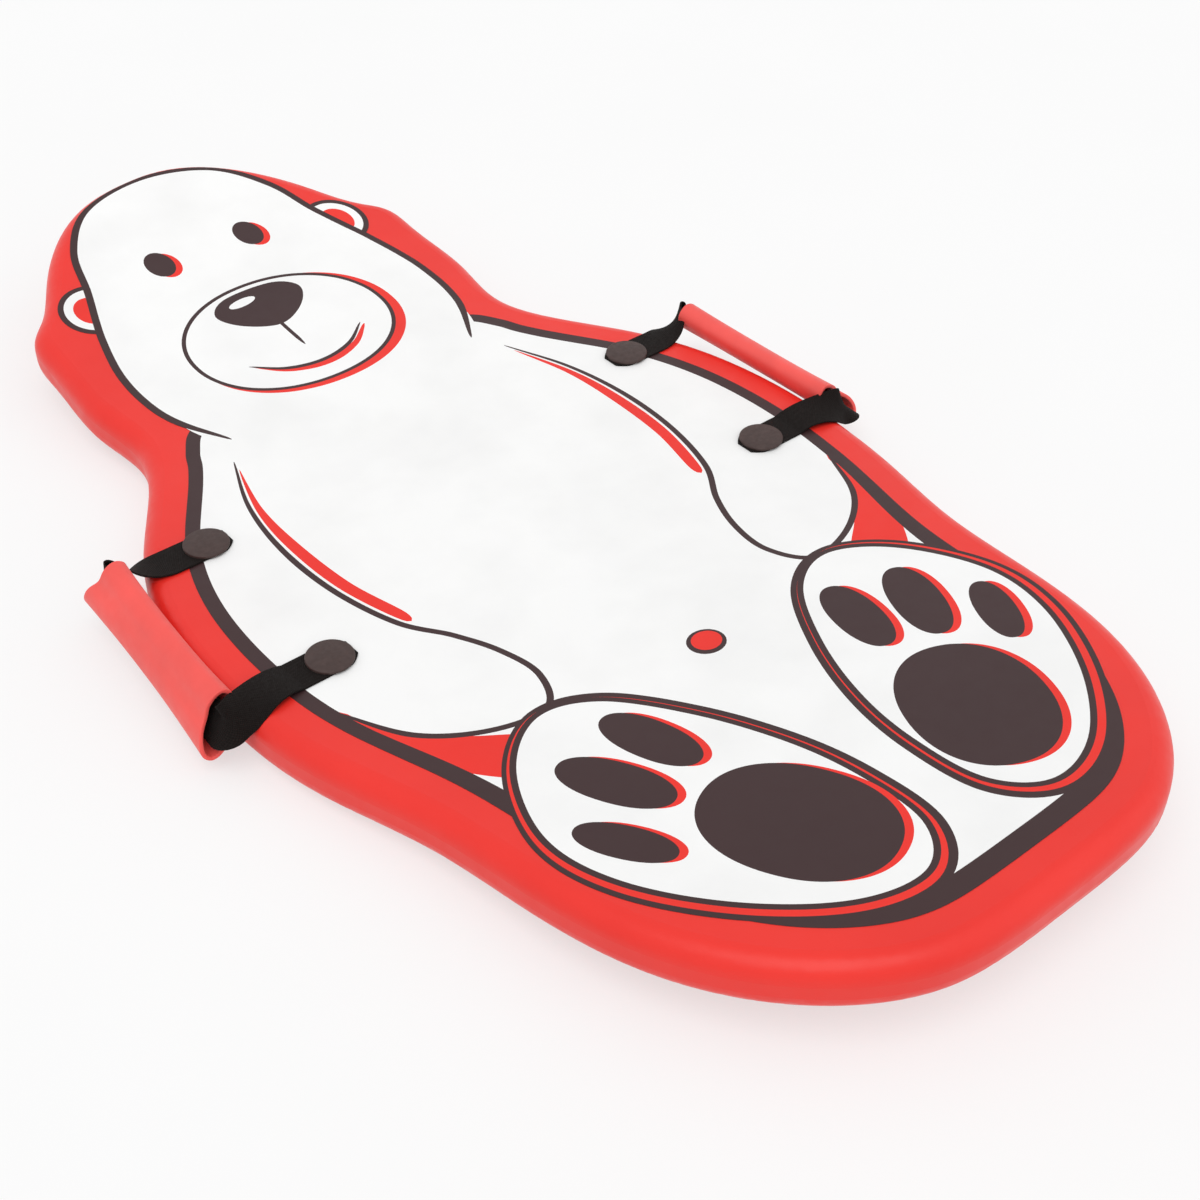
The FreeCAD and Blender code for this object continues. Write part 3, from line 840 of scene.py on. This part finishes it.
for side, sign in SIDES.items():
    strap = make_strap(side)
    give(strap, webbing)
    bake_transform(strap)
    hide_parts(side + "_front_strap_tab", side + "_rear_strap_tab", side + "_handle_webbing")
    sleeve = make_sleeve(side)
    give(sleeve, sleeve_foam)
    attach(sleeve, side + "_grip")
    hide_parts(side + "_grip_sleeve")

# ------------------------------------------------------------------ camera, light and floor
LENS_MM = 54.44
CAMERA_EYE = Vector((-0.7315, -1.0073, 0.9624))
CAMERA_AIM = Vector((-0.0238, -0.1643, 0.0440))
WORLD_LIGHT = 0.66
WORLD_SEEN = 1.0
WHITE = (1.0, 1.0, 1.0, 1.0)
PAPER = (0.90, 0.90, 0.90, 1.0)
PAPER_SHADED = (0.88, 0.88, 0.88, 1.0)
PAPER_GLOW = 0.6
FLOOR_REACH = 6.0
FLOOR_DROP = 0.0005


def make_camera():
    data = bpy.data.cameras.new("camera")
    data.lens = LENS_MM
    data.sensor_width = 36.0
    data.clip_start = 0.01
    camera = bpy.data.objects.new("camera", data)
    camera.location = CAMERA_EYE
    camera.rotation_euler = (CAMERA_AIM - CAMERA_EYE).to_track_quat("-Z", "Y").to_euler()
    scene.collection.objects.link(camera)
    scene.camera = camera


def sun(name, direction, spread, power):
    """A soft sun; spread is how wide it stands in the sky, in degrees."""
    data = bpy.data.lights.new(name, "SUN")
    data.energy = power
    data.angle = math.radians(spread)
    light = bpy.data.objects.new(name, data)
    light.rotation_euler = Vector(direction).to_track_quat("-Z", "Y").to_euler()
    scene.collection.objects.link(light)


def seen(tree):
    """1 where a camera, glossy or transmission ray arrives, and 0 for the light that falls on the object."""
    rays = tree.nodes.new("ShaderNodeLightPath")
    output = rays.outputs["Is Camera Ray"]
    for kind in ("Is Glossy Ray", "Is Transmission Ray"):
        either = tree.nodes.new("ShaderNodeMath")
        either.operation = "MAXIMUM"
        tree.links.new(output, either.inputs[0])
        tree.links.new(rays.outputs[kind], either.inputs[1])
        output = either.outputs[0]
    return output


def make_world():
    """An even white studio, brighter to look at than the light it gives."""
    world = bpy.data.worlds.new("studio")
    world.use_nodes = True
    scene.world = world
    tree = world.node_tree
    background = tree.nodes["Background"]
    background.inputs["Color"].default_value = WHITE
    level = tree.nodes.new("ShaderNodeMapRange")
    level.inputs["To Min"].default_value = WORLD_LIGHT
    level.inputs["To Max"].default_value = WORLD_SEEN
    tree.links.new(seen(tree), level.inputs["Value"])
    tree.links.new(level.outputs["Result"], background.inputs["Strength"])


def make_floor():
    """White paper that keeps the object's shadow and glows a little to the camera."""
    r = FLOOR_REACH
    plan = [(-r, -r), (r, -r), (r, r), (-r, r)]
    floor = mesh_object("floor", [(x, y, -FLOOR_DROP) for x, y in plan], [(0, 1, 2, 3)])
    paper = Shader("floor_paper", PAPER, 0.9, Specular_IOR_Level=0.1)
    paper.colour(paper.mix(paper.spread(paper.noise(3.0), 0.3, 0.7, 0.0, 1.0), PAPER, PAPER_SHADED))
    glow = paper.add("ShaderNodeEmission")
    glow.inputs["Color"].default_value = WHITE
    glow.inputs["Strength"].default_value = 1.0
    both = paper.add("ShaderNodeMixShader")
    paper.link(paper.math("MULTIPLY", seen(paper.tree), PAPER_GLOW), both.inputs[0])
    paper.link(paper.bsdf.outputs[0], both.inputs[1])
    paper.link(glow.outputs[0], both.inputs[2])
    paper.link(both.outputs[0], paper.tree.nodes["Material Output"].inputs["Surface"])
    give(floor, paper.material)
    return floor


scene = bpy.context.scene
make_camera()
sun("key", (0.42, 0.30, -1.0), 50.0, 1.05)
sun("fill", (-0.55, 0.75, -0.9), 70.0, 0.35)
make_world()
floor = make_floor()

scene.view_settings.view_transform = "Standard"


def corners(box):
    return [[float(c) for c in corner] for corner in box]
